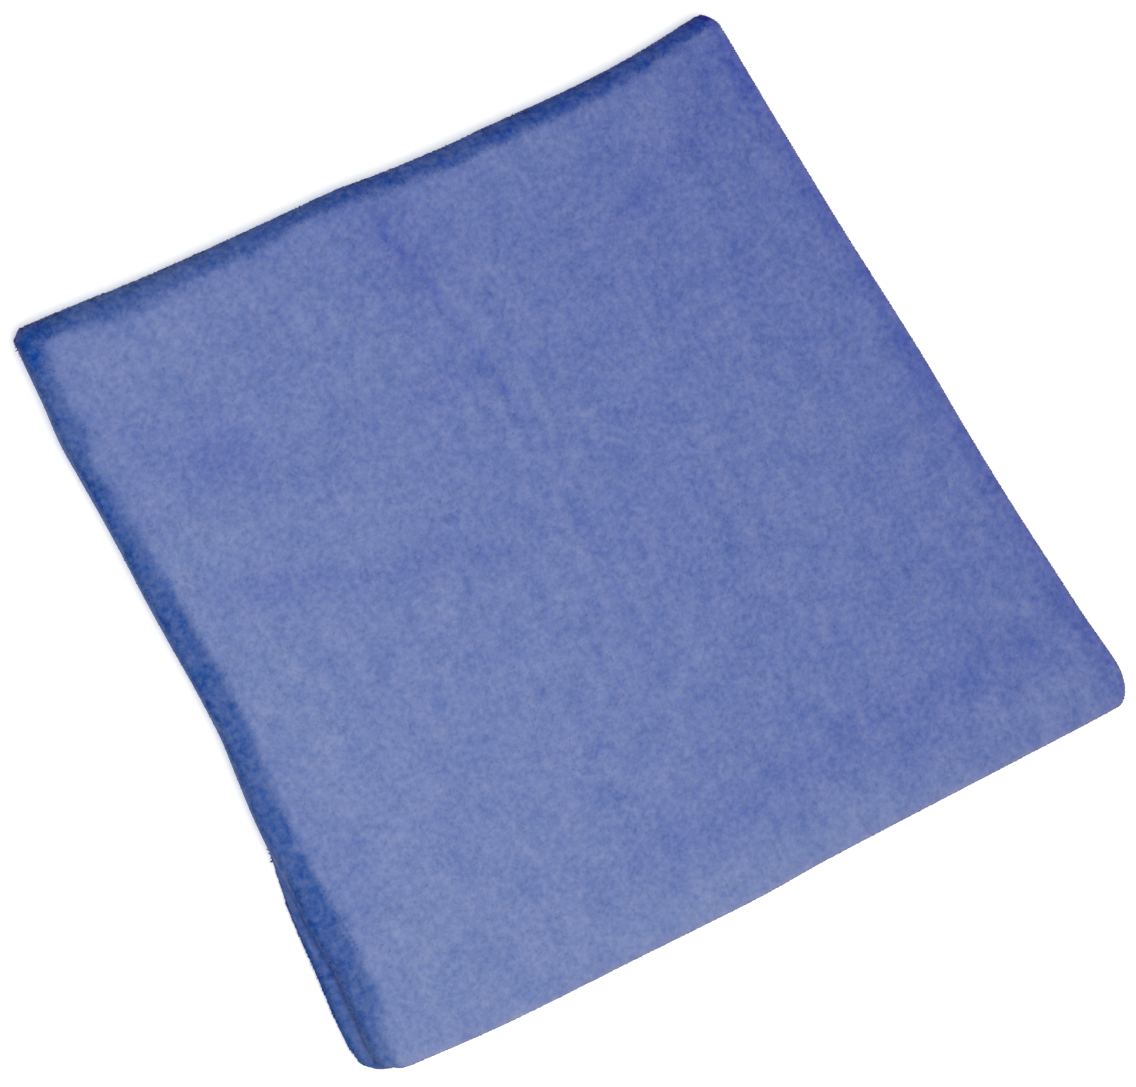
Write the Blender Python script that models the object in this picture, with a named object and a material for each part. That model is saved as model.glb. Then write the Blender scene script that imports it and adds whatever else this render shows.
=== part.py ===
"""A microfibre cloth, folded in half and in half again, lying flat.

One square of plush cloth makes four layers. The first fold doubles it over at the left side, -X.
The second fold takes that double layer down and under at the far side, +Y. The right and near
sides hold the free edges. At the far left corner the folds meet, at the near left corner the lower
double layer has slipped outwards, while further along that side it lies hidden under the upper
one, and at the near right corner lie the cloth's own four corners.

Units are metres and +Z is up. The origin is under the middle of the folded cloth, on the surface
that it lies on.
"""

import bpy
import numpy as np

# The cloth and how it is folded.
CLOTH_SIDE = 0.400  # each side of the square, laid out flat
SHEET = 0.0024  # its thickness, with the nap of both faces
LAYER_GAP = 0.0008  # the air between two layers
FIRST_SQUARENESS = 3.0  # exponents of the folds' superellipses: 2 is round, more is pressed
SECOND_SQUARENESS = 2.6
CORNER_ROUNDS = {  # seen from above: how far each reaches along X and along Y
    ("left", "near"): ((0.0074, 0.0045), (0.0079, 0.0047)),  # of the upper double layer, the lower
    ("left", "far"): ((0.0040, 0.0040), (0.0040, 0.0040)),
    ("right", "far"): ((0.0020, 0.0045), (0.0020, 0.0045)),
    ("right", "near"): ((0.0058, 0.0115), (0.0058, 0.0115)),
}
RIM = 0.0013  # the strip beside a free edge in which the plush rounds off
RIM_SHARE = 0.4  # the thickness that is left at the very edge, as a share

# What follows from them.
FIRST_RADIUS = (SHEET + LAYER_GAP) / 2  # from the middle of a double layer to the middle of a sheet
SECOND_RADIUS = SHEET + LAYER_GAP  # from the middle of the stack to the middle of a double layer
FIRST_REACH = FIRST_RADIUS + SHEET / 2
STACK = 2 * (SECOND_RADIUS + FIRST_REACH)
FIRST_STRAIGHT = (CLOTH_SIDE - np.pi * FIRST_RADIUS) / 2
SECOND_STRAIGHT = (CLOTH_SIDE - np.pi * SECOND_RADIUS) / 2
WIDE = FIRST_STRAIGHT + FIRST_REACH
DEEP = SECOND_STRAIGHT + STACK / 2

# How finely the sheet is divided.
RIM_STATIONS = (0, 0.3, 1)  # in rims from the free edge
IN_FROM_EDGE = 0.0032  # one more station, half-way round a corner
EVEN_STATIONS = 14  # along a layer, between its two corners
EVEN_START = 0.0064  # from the free edge
EVEN_END = 0.0050  # from where the fold begins to turn
IN_FROM_FOLD = 0.0024  # one more station, between that and the fold
FOLD_STATIONS = 7  # round a fold

# The lower double layer slips out of line with the upper one at the first fold.
LOWER_SLIP = (  # along, how far the lower roll of the first fold lies further out than the upper
    (0.00, 0.0018),
    (0.02, 0.0023),
    (0.04, 0.0031),
    (0.06, 0.0034),
    (0.10, 0.0035),
    (0.12, 0.0033),
    (0.15, 0.0028),
    (0.17, 0.0025),
    (0.20, 0.0016),
    (0.23, 0.0012),
    (0.25, 0.0007),
    (0.28, -0.0005),
    (0.30, -0.0010),
    (0.33, -0.0020),
    (0.40, -0.0023),
    (0.60, -0.0024),
    (0.90, -0.0020),
    (1.00, -0.0010),
)

# The sides of the folded cloth, seen from above. Along runs from 0 to 1: from the near side to the
# far one for the left and right sides, and from the left side to the right one for the others.
LEFT_SIDE = (  # along, x
    (0.00, -0.1064),
    (0.04, -0.1060),
    (0.08, -0.1055),
    (0.12, -0.1051),
    (0.16, -0.1052),
    (0.20, -0.1057),
    (0.25, -0.1054),
    (0.30, -0.1054),
    (0.35, -0.1051),
    (0.40, -0.1043),
    (0.45, -0.1034),
    (0.50, -0.1033),
    (0.60, -0.1040),
    (0.65, -0.1043),
    (0.70, -0.1043),
    (0.75, -0.1045),
    (0.80, -0.1049),
    (0.86, -0.1053),
    (0.90, -0.1047),
    (0.94, -0.1044),
    (1.00, -0.1043),
)
RIGHT_SIDE = (  # along, x
    (0.00, 0.1102),
    (0.05, 0.1090),
    (0.12, 0.1067),
    (0.20, 0.1045),
    (0.30, 0.1019),
    (0.40, 0.0998),
    (0.50, 0.0980),
    (0.60, 0.0956),
    (0.67, 0.0938),
    (0.75, 0.0920),
    (0.85, 0.0899),
    (1.00, 0.0870),
)
NEAR_SIDE = (  # along, y
    (0.00, -0.0923),
    (0.05, -0.0936),
    (0.10, -0.0949),
    (0.15, -0.0960),
    (0.20, -0.0968),
    (0.30, -0.0981),
    (0.40, -0.0995),
    (0.48, -0.1006),
    (0.56, -0.1010),
    (0.65, -0.1019),
    (0.75, -0.1030),
    (0.85, -0.1041),
    (0.93, -0.1050),
    (1.00, -0.1055),
)
FAR_SIDE = (  # along, y
    (0.00, 0.1061),
    (0.05, 0.1054),
    (0.10, 0.1046),
    (0.15, 0.1036),
    (0.22, 0.1026),
    (0.30, 0.1018),
    (0.38, 0.1011),
    (0.45, 0.1005),
    (0.52, 0.0990),
    (0.60, 0.0977),
    (0.66, 0.0972),
    (0.72, 0.0966),
    (0.80, 0.0959),
    (0.88, 0.0959),
    (1.00, 0.0975),
)

# How far each layer's free edges lie inside those lines, at the right near corner.
FREE_EDGES = {  # layer: at the right side, at the near side
    "top": (0.0, 0.0),
    "second": (0.0012, 0.0016),
    "third": (0.0022, 0.0030),
    "bottom": (0.0006, 0.0044),
}

# How high the cloth stands, from the left side to the right one. It is loftiest along an old
# crease down its middle, and thinnest where its own corners lie.
HEIGHTS = (  # along, height at the near side, half-way, at the far side
    (0.00, 0.0118, 0.0124, 0.0127),
    (0.24, 0.0123, 0.0127, 0.0125),
    (0.47, 0.0122, 0.0133, 0.0129),
    (0.62, 0.0112, 0.0123, 0.0126),
    (0.82, 0.0102, 0.0108, 0.0120),
    (1.00, 0.0090, 0.0095, 0.0112),
)
HEIGHT_PLACES = (0.0, 0.5, 1.0)

# Soft hollows and swells of the upper face.
RIPPLES = (  # middle x, middle y, half length along X, half length along Y, rise
    (-0.078, 0.057, 0.034, 0.013, -0.0008),
    (-0.066, 0.020, 0.042, 0.012, -0.0010),
    (-0.086, -0.038, 0.026, 0.014, -0.0007),
    (-0.092, 0.040, 0.022, 0.012, 0.0005),
    (-0.090, -0.008, 0.024, 0.012, 0.0006),
    (-0.083, -0.070, 0.026, 0.014, 0.0006),
    (-0.010, 0.076, 0.020, 0.016, -0.0006),
    (0.048, 0.062, 0.024, 0.016, -0.0004),
    (0.030, -0.082, 0.056, 0.012, -0.0006),
)


def line_across_a_fold(straight, squareness):
    """The stations of a line that runs from a free edge to a fold, round it, and back.

    Returns, for each station, how far it is from the fold's axis, how much of a sheet's distance
    from that axis points out of the fold and how much points up, and how far the station is from
    its free edge. Round the fold the last two shares follow a superellipse.
    """
    in_from_edge = np.concatenate(
        (
            RIM * np.array(RIM_STATIONS),
            [IN_FROM_EDGE],
            np.linspace(EVEN_START, straight - EVEN_END, EVEN_STATIONS),
            [straight - IN_FROM_FOLD, straight],
        )
    )
    angle = np.linspace(np.pi / 2, -np.pi / 2, FOLD_STATIONS + 2)[1:-1]
    power = 2 / squareness
    flat, turn = np.ones(len(in_from_edge)), np.ones(len(angle))
    away = np.concatenate((straight - in_from_edge, 0 * turn, (straight - in_from_edge)[::-1]))
    outwards = np.concatenate((0 * flat, np.cos(angle) ** power, 0 * flat))
    up = np.concatenate((flat, np.sign(angle) * np.abs(np.sin(angle)) ** power, -flat))
    inset = np.concatenate((in_from_edge, straight * turn, in_from_edge[::-1]))
    return away, outwards, up, inset


def rounded_rim(inset):
    """The share of the sheet's thickness this far from a free edge: a quarter circle over the rim."""
    in_rim = np.clip(inset / RIM, 0, 1)
    return RIM_SHARE + (1 - RIM_SHARE) * np.sqrt(1 - (1 - in_rim) ** 2)


def smooth_curve(at, stations, values):
    """A curve through the values: cubics that take each station's slope from its neighbours."""
    stations, values = np.array(stations), np.array(values)
    slopes = np.gradient(values, stations)
    cell = np.clip(np.searchsorted(stations, at) - 1, 0, len(stations) - 2)
    width = stations[cell + 1] - stations[cell]
    part = (at - stations[cell]) / width
    rise = values[cell + 1] - values[cell]
    leaving, arriving = slopes[cell] * width, slopes[cell + 1] * width
    bend = 3 * rise - 2 * leaving - arriving
    twist = leaving + arriving - 2 * rise
    return values[cell] + part * (leaving + part * (bend + part * twist))


def height_of_stack(across, along, x, y):
    """How high the upper face stands: curves through HEIGHTS, with each ripple as a soft bell."""
    stations, *columns = zip(*HEIGHTS)
    near, middle, far = (smooth_curve(across, stations, column) for column in columns)
    start, halfway, _ = HEIGHT_PLACES
    part = (along - start) / (halfway - start)
    height = near + part * (middle - near) + part * (part - 1) / 2 * (far - 2 * middle + near)
    for middle_x, middle_y, half_x, half_y, rise in RIPPLES:
        height = height + rise * np.exp(
            -(((x - middle_x) / half_x) ** 2) - ((y - middle_y) / half_y) ** 2
        )
    return height


def folded_face(face):
    """One face of the sheet, folded twice: +1 is the face that ends up outside, -1 the other.

    A point of the twice folded sheet is its distance from the first fold's axis carried round
    the second fold. The square stack is then spread to the sides and heights above.
    """
    first = line_across_a_fold(FIRST_STRAIGHT, FIRST_SQUARENESS)
    second = line_across_a_fold(SECOND_STRAIGHT, SECOND_SQUARENESS)
    away_1, out_1, up_1, inset_1 = (row[:, None] for row in first)
    away_2, out_2, up_2, inset_2 = (row[None, :] for row in second)
    half_sheet = SHEET / 2 * rounded_rim(inset_1) * rounded_rim(inset_2)
    reach = FIRST_RADIUS + face * half_sheet
    radius = SECOND_RADIUS + reach * up_1
    x = FIRST_REACH + away_1 - reach * out_1 + 0 * radius
    y = SECOND_STRAIGHT - away_2 + radius * out_2
    z = STACK / 2 + radius * up_2

    # Both shares run smoothly from layer to layer round a fold.
    inner, lower = (1 - up_1) / 2, (1 - up_2) / 2

    # Each corner is drawn in to a quarter ellipse. The sign is the way inwards.
    from_fold_1 = FIRST_REACH * (1 - out_1) + away_1
    from_fold_2 = STACK / 2 - (SECOND_RADIUS + FIRST_REACH * up_1) * out_2 + away_2
    insets = {
        "left": (from_fold_1, 1),
        "right": (inset_1, -1),
        "near": (inset_2, 1),
        "far": (from_fold_2, -1),
    }
    for (side, end), (of_upper, of_lower) in CORNER_ROUNDS.items():
        reach_x, reach_y = (up + (under - up) * lower for up, under in zip(of_upper, of_lower))
        (from_side, inwards_x), (from_end, inwards_y) = insets[side], insets[end]
        to_side = np.clip(1 - from_side / reach_x, 0, 1)
        to_end = np.clip(1 - from_end / reach_y, 0, 1)
        x = x + inwards_x * reach_x * to_side * (1 - np.sqrt(1 - to_end**2 / 2))
        y = y + inwards_y * reach_y * to_end * (1 - np.sqrt(1 - to_side**2 / 2))

    # The layers lie a little out of line.
    shares = {
        "top": (1 - inner) * (1 - lower),
        "second": inner * (1 - lower),
        "third": inner * lower,
        "bottom": (1 - inner) * lower,
    }
    across, along = x / WIDE, y / DEEP
    for layer, (at_right, at_near) in FREE_EDGES.items():
        x = x - shares[layer] * at_right * across**2
        y = y + shares[layer] * at_near * (1 - along) ** 2 * np.clip(across, 0, 1)
    across, along = x / WIDE, y / DEEP

    left, right = (smooth_curve(along, *zip(*side)) for side in (LEFT_SIDE, RIGHT_SIDE))
    near, far = (smooth_curve(across, *zip(*side)) for side in (NEAR_SIDE, FAR_SIDE))
    slip = smooth_curve(along, *zip(*LOWER_SLIP))
    x = left + (right - left) * across - slip * lower * (1 - across)
    y = near + (far - near) * along
    z = z * height_of_stack(across, along, x, y) / STACK
    return np.stack((x, y, z), axis=-1)


def sheet_mesh(name, outside, inside):
    """A closed mesh from the sheet's two faces, each a grid of points, and a strip round their rims."""
    rows, columns, _ = outside.shape
    grid = np.arange(rows * columns).reshape(rows, columns)
    quads = np.stack((grid[:-1, :-1], grid[:-1, 1:], grid[1:, 1:], grid[1:, :-1]), axis=-1)
    quads = quads.reshape(-1, 4)
    rim = np.concatenate((grid[:-1, 0], grid[-1, :-1], grid[:0:-1, -1], grid[0, :0:-1]))
    onward = np.roll(rim, -1)
    strip = np.stack((rim, onward, onward + grid.size, rim + grid.size), axis=-1)
    faces = np.concatenate((quads, quads[:, ::-1] + grid.size, strip))
    points = np.concatenate((outside.reshape(-1, 3), inside.reshape(-1, 3)))
    middle = (points.min(axis=0) + points.max(axis=0)) / 2
    points = points - [middle[0], middle[1], 0]
    mesh = bpy.data.meshes.new(name)
    mesh.from_pydata(points.tolist(), [], faces.tolist())
    mesh.validate()
    mesh.shade_smooth()
    return mesh


def plush_material(name):
    """Short, dense microfibre plush in a soft royal blue, without gloss."""
    material = bpy.data.materials.new(name)
    material.use_nodes = True
    shader = material.node_tree.nodes["Principled BSDF"]
    shader.inputs["Base Color"].default_value = (0.13, 0.19, 0.45, 1)
    shader.inputs["Roughness"].default_value = 0.95
    shader.inputs["Metallic"].default_value = 0
    return material


for leftover in list(bpy.data.objects):
    bpy.data.objects.remove(leftover)

cloth = bpy.data.objects.new("cloth", sheet_mesh("cloth", folded_face(1), folded_face(-1)))
cloth.data.materials.append(plush_material("microfibre"))
bpy.context.scene.collection.objects.link(cloth)
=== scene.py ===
import bpy
import numpy as np
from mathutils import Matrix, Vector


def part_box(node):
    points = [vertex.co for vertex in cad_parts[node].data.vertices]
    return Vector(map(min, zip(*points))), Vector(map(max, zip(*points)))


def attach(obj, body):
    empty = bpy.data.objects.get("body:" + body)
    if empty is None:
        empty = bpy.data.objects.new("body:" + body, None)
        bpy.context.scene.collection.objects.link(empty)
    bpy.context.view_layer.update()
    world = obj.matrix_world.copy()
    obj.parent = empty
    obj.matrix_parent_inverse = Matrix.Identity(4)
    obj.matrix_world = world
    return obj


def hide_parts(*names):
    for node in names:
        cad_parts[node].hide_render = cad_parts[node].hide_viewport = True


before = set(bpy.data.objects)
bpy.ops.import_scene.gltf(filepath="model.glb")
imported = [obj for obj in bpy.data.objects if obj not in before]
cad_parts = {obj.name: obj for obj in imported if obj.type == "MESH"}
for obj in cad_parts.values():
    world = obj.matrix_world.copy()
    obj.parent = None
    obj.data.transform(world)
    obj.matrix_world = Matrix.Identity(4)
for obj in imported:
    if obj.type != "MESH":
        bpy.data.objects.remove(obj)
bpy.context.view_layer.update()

# ---------------------------------------------------------------------------------------------
# The ground of the cloth. One square of microfibre is knitted and cut with a plain edge. It is
# folded in half at the left side, and that double layer is folded down and under at the far
# side.

# All lengths are metres. A point of the cloth is named by two flat distances: over, from the
# free edge that ends up at the right, and down, from the free edge that ends up nearest.
CLOTH_SIDE = 0.400  # each side of the square, laid out flat
SHEET = 0.0024  # its thickness, with the nap of both faces
LAYER_GAP = 0.0008  # the air between two layers
GROUND_SHARE = 0.72  # the knitted ground's share of the thickness; the rest is nap
GROOVE_SHARE = 1.8  # the same where the two rolls of the first fold press together
GROOVE_ENDS = (0.0045, 0.0075)  # how far in from the fold that share holds, and where it is gone
GROOVE_FALL = 0.5  # how much less that is inside the second fold
GROOVE_FADE = 0.006  # the length over which it grows less
GROOVE_LEAD = 0.0011  # how far before that the lower roll's nap begins to rise
GROOVE_SLOPE = 0.0014  # the length over which the swelling between the rolls sets in
FIRST_SQUARENESS = 3.0  # exponents of the folds' superellipses: 2 is round, more is pressed
SECOND_SQUARENESS = 2.6
RIM = 0.0013  # the strip beside a free edge in which the plush rounds off
RIM_SHARE = 0.4  # the thickness that is left at the very edge, as a share

FIRST_RADIUS = (SHEET + LAYER_GAP) / 2
SECOND_RADIUS = SHEET + LAYER_GAP
FIRST_REACH = FIRST_RADIUS + SHEET / 2
STACK = 2 * (SECOND_RADIUS + FIRST_REACH)
FIRST_STRAIGHT = (CLOTH_SIDE - np.pi * FIRST_RADIUS) / 2
SECOND_STRAIGHT = (CLOTH_SIDE - np.pi * SECOND_RADIUS) / 2
WIDE = FIRST_STRAIGHT + FIRST_REACH
DEEP = SECOND_STRAIGHT + STACK / 2

CORNER_ROUNDS = {  # seen from above: how far each reaches along X and along Y
    ("left", "near"): ((0.0074, 0.0045), (0.0079, 0.0047)),  # of the upper double layer, the lower
    ("left", "far"): ((0.0040, 0.0040), (0.0040, 0.0040)),
    ("right", "far"): ((0.0020, 0.0045), (0.0020, 0.0045)),
    ("right", "near"): ((0.0058, 0.0115), (0.0058, 0.0115)),
}

LOWER_SLIP = (  # along, how far the lower roll of the first fold lies further out than the upper
    (0.00, 0.0018),
    (0.02, 0.0023),
    (0.04, 0.0031),
    (0.06, 0.0034),
    (0.10, 0.0035),
    (0.12, 0.0033),
    (0.15, 0.0028),
    (0.17, 0.0025),
    (0.20, 0.0016),
    (0.23, 0.0012),
    (0.25, 0.0007),
    (0.28, -0.0005),
    (0.30, -0.0010),
    (0.33, -0.0020),
    (0.40, -0.0023),
    (0.60, -0.0024),
    (0.90, -0.0020),
    (1.00, -0.0010),
)
LEFT_SIDE = (  # along, x
    (0.00, -0.1064),
    (0.04, -0.1060),
    (0.08, -0.1055),
    (0.12, -0.1051),
    (0.16, -0.1052),
    (0.20, -0.1057),
    (0.25, -0.1054),
    (0.30, -0.1054),
    (0.35, -0.1051),
    (0.40, -0.1043),
    (0.45, -0.1034),
    (0.50, -0.1033),
    (0.60, -0.1040),
    (0.65, -0.1043),
    (0.70, -0.1043),
    (0.75, -0.1045),
    (0.80, -0.1049),
    (0.86, -0.1053),
    (0.90, -0.1047),
    (0.94, -0.1044),
    (1.00, -0.1043),
)
RIGHT_SIDE = (  # along, x
    (0.00, 0.1102),
    (0.05, 0.1090),
    (0.12, 0.1067),
    (0.20, 0.1045),
    (0.30, 0.1019),
    (0.40, 0.0998),
    (0.50, 0.0980),
    (0.60, 0.0956),
    (0.67, 0.0938),
    (0.75, 0.0920),
    (0.85, 0.0899),
    (1.00, 0.0870),
)
NEAR_SIDE = (  # along, y
    (0.00, -0.0923),
    (0.05, -0.0936),
    (0.10, -0.0949),
    (0.15, -0.0960),
    (0.20, -0.0968),
    (0.30, -0.0981),
    (0.40, -0.0995),
    (0.48, -0.1006),
    (0.56, -0.1010),
    (0.65, -0.1019),
    (0.75, -0.1030),
    (0.85, -0.1041),
    (0.93, -0.1050),
    (1.00, -0.1055),
)
FAR_SIDE = (  # along, y
    (0.00, 0.1061),
    (0.05, 0.1054),
    (0.10, 0.1046),
    (0.15, 0.1036),
    (0.22, 0.1026),
    (0.30, 0.1018),
    (0.38, 0.1011),
    (0.45, 0.1005),
    (0.52, 0.0990),
    (0.60, 0.0977),
    (0.66, 0.0972),
    (0.72, 0.0966),
    (0.80, 0.0959),
    (0.88, 0.0959),
    (1.00, 0.0975),
)
FREE_EDGES = {  # layer: how far its free edges lie inside the sides, at the right near corner
    "top": (0.0, 0.0),  # at the right side, at the near side
    "second": (0.0012, 0.0016),
    "third": (0.0022, 0.0030),
    "bottom": (0.0006, 0.0044),
}
HEIGHTS = (  # along, height at the near side, half-way, at the far side
    (0.00, 0.0118, 0.0124, 0.0127),
    (0.24, 0.0123, 0.0127, 0.0125),
    (0.47, 0.0122, 0.0133, 0.0129),
    (0.62, 0.0112, 0.0123, 0.0126),
    (0.82, 0.0102, 0.0108, 0.0120),
    (1.00, 0.0090, 0.0095, 0.0112),
)
RIPPLES = (  # middle x, middle y, half length along X, half length along Y, rise
    (-0.078, 0.057, 0.034, 0.013, -0.0008),
    (-0.066, 0.020, 0.042, 0.012, -0.0010),
    (-0.086, -0.038, 0.026, 0.014, -0.0007),
    (-0.092, 0.040, 0.022, 0.012, 0.0005),
    (-0.090, -0.008, 0.024, 0.012, 0.0006),
    (-0.083, -0.070, 0.026, 0.014, 0.0006),
    (-0.010, 0.076, 0.020, 0.016, -0.0006),
    (0.048, 0.062, 0.024, 0.016, -0.0004),
    (0.030, -0.082, 0.056, 0.012, -0.0006),
)
OLD_CREASE = (  # y, x, depth: a faint crease across the upper face, perhaps of an earlier fold
    (-0.090, 0.0020, 0.00004),
    (-0.045, 0.0010, 0.00006),
    (-0.030, 0.0000, 0.00014),
    (-0.018, -0.0003, 0.00024),
    (0.000, -0.0010, 0.00022),
    (0.017, 0.0000, 0.00026),
    (0.026, -0.0012, 0.00036),
    (0.037, -0.0028, 0.00036),
    (0.050, -0.0052, 0.00030),
    (0.060, -0.0066, 0.00030),
    (0.071, -0.0085, 0.00028),
    (0.085, -0.0125, 0.00022),
    (0.095, -0.0140, 0.00008),
)
CREASE_HALF_WIDTH = 0.0013
CREASE_LIP = 0.0030  # from the crease's bottom to the crest of the lip at its right
CREASE_LIP_SHARE = 0.2  # the lip's height as a share of the depth

FLAT_STATIONS = 80  # along a layer
FOLD_STATIONS = 16  # round a fold
RIM_STATIONS = (0, 0.12, 0.35, 0.65, 1)  # in rims from the free edge
FIRST_SHADE_BAND = (  # along, width of the band beside the first fold painted in shade, where the fold spreads the nap, how deep
    (0.00, 0.0041, 0.98),
    (0.06, 0.0050, 1.00),
    (0.10, 0.0061, 1.07),
    (0.15, 0.0069, 1.12),
    (0.20, 0.0079, 1.15),
    (0.25, 0.0065, 1.15),
    (0.30, 0.0060, 1.15),
    (0.40, 0.0059, 1.14),
    (0.50, 0.0068, 1.20),
    (0.60, 0.0066, 1.20),
    (0.70, 0.0057, 1.06),
    (0.80, 0.0046, 1.05),
    (0.85, 0.0052, 1.09),
    (0.90, 0.0049, 1.02),
    (1.00, 0.0051, 1.03),
)
SECOND_SHADE_BAND = (  # across, the same along the second fold
    (0.00, 0.0045, 1.08),
    (0.06, 0.0056, 1.05),
    (0.10, 0.0063, 1.00),
    (0.15, 0.0066, 0.92),
    (0.20, 0.0050, 0.93),
    (0.25, 0.0054, 0.94),
    (0.30, 0.0053, 0.95),
    (0.40, 0.0037, 0.95),
    (0.50, 0.0042, 0.92),
    (0.60, 0.0054, 1.05),
    (0.70, 0.0045, 1.15),
    (0.80, 0.0048, 1.00),
    (0.86, 0.0047, 0.98),
    (0.90, 0.0038, 0.97),
    (0.95, 0.0040, 0.97),
    (1.00, 0.0028, 0.98),
)
SHADE_BAND_BLUR = 0.0013  # half the width over which the nap closes and the painted shade fades
OUTERMOST_SHADE_REACH = 0.0012  # within this of a fold's outermost line, down by the floor, the painted shade is deeper still
OUTERMOST_SHADE = 0.42  # on the upper roll and round the second fold
LOWER_OUTERMOST_SHADE = 0.80  # on the lower roll of the first fold
MEETING_SHADE_REACH = 0.018  # the same round the corner where the two folds meet
MEETING_SHADE = 0.60  # at that corner itself
SHADE_BAND_NOISE = 0.0004  # how uneven the edge of the band is
SHADE_BAND_NOISE_SIZE = 0.0025
PAINTED_LIGHT_MIDDLE = -0.002  # how much paler than the face's blue the painted light makes the nap in the middle
PAINTED_LIGHT_FALL = (0.33, 0.15)  # how much less that is for each metre along X and along Y: a painted falloff of the light
RIGHT_SHADE_BAND = 0.007  # in from the right free edge, where its roll-off is painted in shade
RIGHT_EDGE_SHADE = 0.060  # how much deeper that painted shade makes it at that edge
CREASE_SHADE = 170.0  # for each metre that the old crease rises: painted shade in its trough, a painted highlight on its lip
PATCHES_OF_LIGHT_SHADE_AND_TONE = (  # middle x, middle y, half length, half width, its turn in degrees, how much paler: painted shade in the ripples' dips and painted light on their rises, and patches of paler and deeper nap
    (-0.074, 0.057, 0.013, 0.009, -20, -0.048),
    (-0.076, 0.025, 0.012, 0.006, -15, -0.032),
    (-0.045, 0.013, 0.026, 0.005, -12, -0.021),
    (0.030, -0.078, 0.060, 0.008, 0, -0.024),
    (0.072, -0.078, 0.012, 0.006, 10, -0.016),
    (-0.022, -0.077, 0.010, 0.005, 0, -0.016),
    (-0.025, -0.058, 0.004, 0.005, 0, -0.016),
    (0.016, -0.008, 0.014, 0.020, 20, -0.012),
    (0.026, 0.018, 0.003, 0.004, 0, -0.024),
    (0.066, 0.070, 0.022, 0.0035, 18, -0.032),
    (0.047, 0.060, 0.004, 0.009, 0, -0.016),
    (0.067, 0.038, 0.002, 0.007, 5, -0.036),
    (-0.011, 0.080, 0.009, 0.013, 0, -0.040),
    (-0.017, 0.047, 0.013, 0.002, 12, -0.030),
    (-0.089, 0.003, 0.010, 0.022, 0, 0.022),
    (-0.090, 0.040, 0.010, 0.007, 0, 0.022),
    (-0.088, -0.070, 0.012, 0.010, 0, 0.016),
    (-0.080, 0.088, 0.022, 0.007, 0, 0.008),
    (0.025, 0.086, 0.022, 0.006, -3, 0.024),
    (0.058, 0.085, 0.010, 0.006, 0, 0.016),
    (0.078, 0.084, 0.009, 0.010, 0, -0.018),
    (0.000, 0.000, 0.030, 0.030, 0, 0.008),
    (0.060, -0.005, 0.020, 0.030, 0, 0.012),
    (-0.1045, -0.066, 0.0025, 0.018, 0, -0.030),
    (-0.032, 0.056, 0.009, 0.010, 0, 0.016),
    (0.015, -0.097, 0.055, 0.006, -4, 0.030),
    (0.088, -0.096, 0.014, 0.006, 0, 0.018),
    (0.090, -0.082, 0.010, 0.008, 0, -0.014),
    (-0.035, -0.072, 0.003, 0.013, 0, 0.016),
    (-0.095, -0.010, 0.008, 0.110, 0, -0.014),
    (-0.093, -0.060, 0.008, 0.014, 0, -0.012),
)
RIM_HIGHLIGHT_BAND = 0.0028  # in from a free edge, where a highlight is painted along the rim
RIGHT_HIGHLIGHT_SHARE = 0.75  # at the right side, of the painted highlight at the near side
SMALL_STEP = 1e-5  # for measuring a surface's directions
NOISE_CELLS = 256  # along each side of the square that the soft noise repeats in
BAND_NOISE_SEED = 7
HALF_MAP = 0.49  # the width that each face takes in the ground's map for baking
INSIDE_MAP = 0.51  # where the inner face begins in it
RIM_MAP = (0.492, 0.508)  # and the strip round the rims in between


def smooth_curve(at, stations, values):
    """A curve through the values: cubics that take each station's slope from its neighbours."""
    stations, values = np.array(stations), np.array(values)
    slopes = np.gradient(values, stations)
    cell = np.clip(np.searchsorted(stations, at) - 1, 0, len(stations) - 2)
    width = stations[cell + 1] - stations[cell]
    part = (at - stations[cell]) / width
    rise = values[cell + 1] - values[cell]
    leaving, arriving = slopes[cell] * width, slopes[cell + 1] * width
    bend = 3 * rise - 2 * leaving - arriving
    twist = leaving + arriving - 2 * rise
    return values[cell] + part * (leaving + part * (bend + part * twist))


def line_across_a_fold(distance, straight, squareness):
    """The path of a thread that crosses a fold, at each flat distance from its free end.

    Returns how far it is from the fold's axis, how much of a sheet's distance from that axis
    points out of the fold and how much points up, and how far off the nearer free end is. Round
    the fold the two shares follow a superellipse: the cosine and the sine of the angle, each
    raised to 2 over the squareness.
    """
    angle = np.pi * (0.5 - np.clip((distance - straight) / (CLOTH_SIDE - 2 * straight), 0, 1))
    power = 2 / squareness
    away = np.maximum(np.abs(distance - CLOTH_SIDE / 2) - (CLOTH_SIDE / 2 - straight), 0)
    outwards = np.abs(np.cos(angle)) ** power
    up = np.sign(angle) * np.abs(np.sin(angle)) ** power
    inset = np.minimum(np.minimum(distance, CLOTH_SIDE - distance), straight)
    return away, outwards, up, inset


def rounded_rim(inset):
    """The share of the sheet's thickness this far from a free edge: a quarter circle over the rim."""
    in_rim = np.clip(inset / RIM, 0, 1)
    return RIM_SHARE + (1 - RIM_SHARE) * np.sqrt(1 - (1 - in_rim) ** 2)


def old_crease(x, y):
    """The rise of a bell-shaped trough along the crease's line, and of a wider bell as its lip."""
    crease_y, crease_x, crease_depth = zip(*OLD_CREASE)
    beside = (x - np.interp(y, crease_y, crease_x)) / CREASE_HALF_WIDTH
    lip = (beside - CREASE_LIP / CREASE_HALF_WIDTH) / 2
    shape = CREASE_LIP_SHARE * np.exp(-(lip**2)) - np.exp(-(beside**2))
    return np.interp(y, crease_y, crease_depth) * shape


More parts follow.
